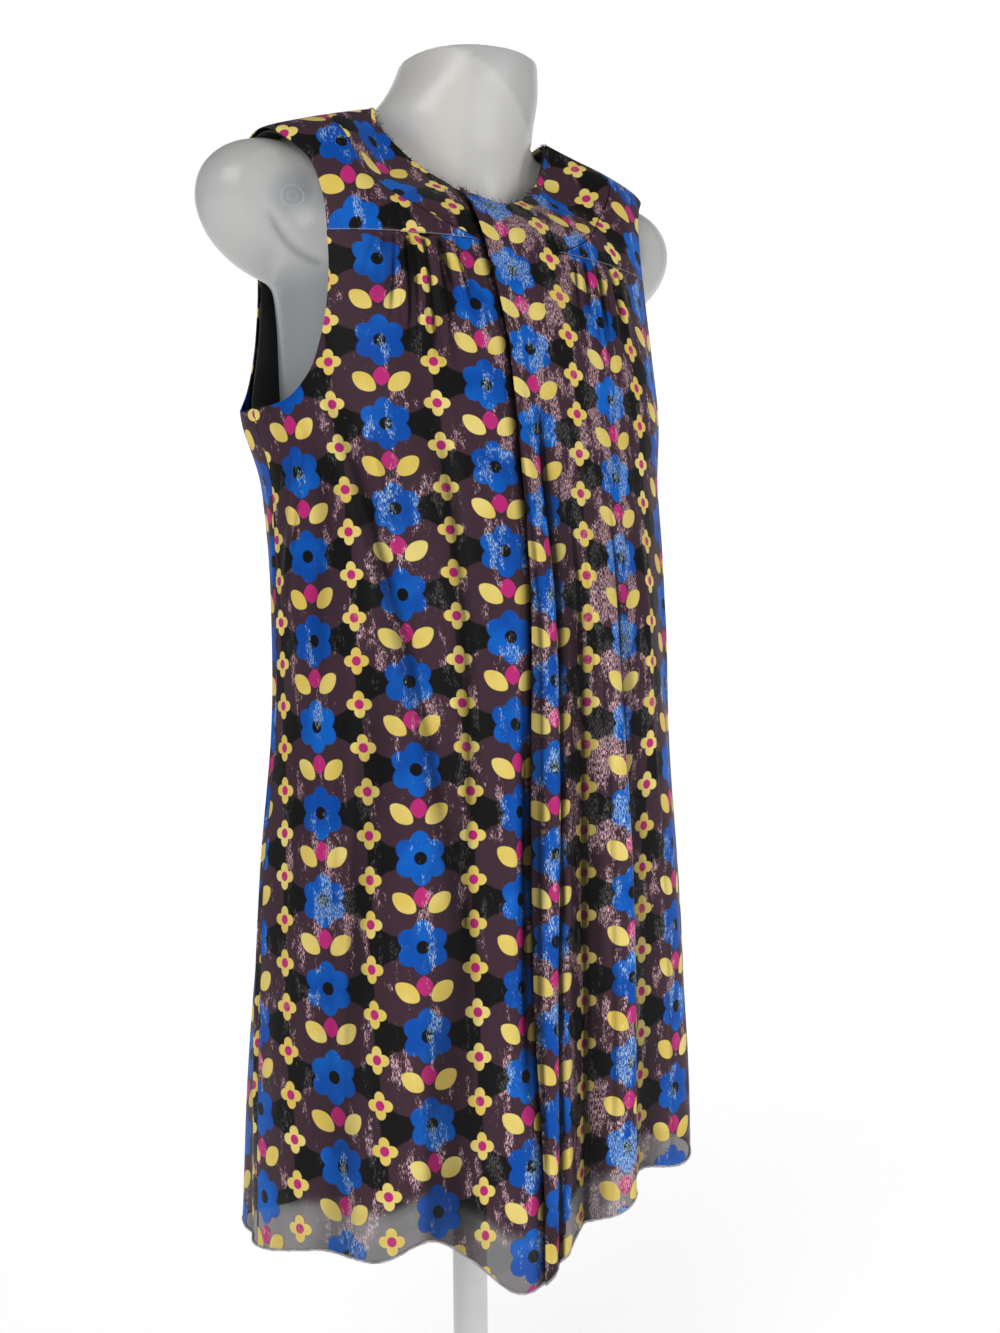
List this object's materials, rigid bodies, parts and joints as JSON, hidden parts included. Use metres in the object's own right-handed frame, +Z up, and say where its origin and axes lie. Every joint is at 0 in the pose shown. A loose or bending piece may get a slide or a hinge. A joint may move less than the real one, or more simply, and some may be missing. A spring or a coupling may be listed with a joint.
{
  "type": "sleeveless shift dress on a limbless torso dress form with a pole stand",
  "caption": "Sleeveless shift dress with gathered front yokes, a folded centre panel and a black lining, worn by a limbless pale torso form on a round-based pole stand",
  "frame": {"origin": "The middle of the stand's underside, on the surface that it stands on.", "axes": "+Z is up, along the pole. The wearer's front faces -Y, so the wearer's left is +X."},
  "size_m": [0.4532, 0.3045, 1.19],
  "materials": {
    "printed_cloth": "printed satin with metallic flecks",
    "lining_cloth": "plain black",
    "form_shell": "satin",
    "stand_plate": "satin",
    "stand_tube": "satin"
  },
  "bodies": {
    "root": {"front_right": "printed_cloth", "front_left": "printed_cloth", "yoke_right": "printed_cloth", "yoke_left": "printed_cloth", "neck_band_right": "printed_cloth", "neck_band_left": "printed_cloth", "back": "printed_cloth", "lining_front": "lining_cloth", "lining_back": "lining_cloth", "torso_form": "form_shell", "stand_flange": "stand_plate", "stand_pole": "stand_tube", "stand_collar": "stand_plate", "stand_base": "stand_plate"}
  },
  "joints": []
}
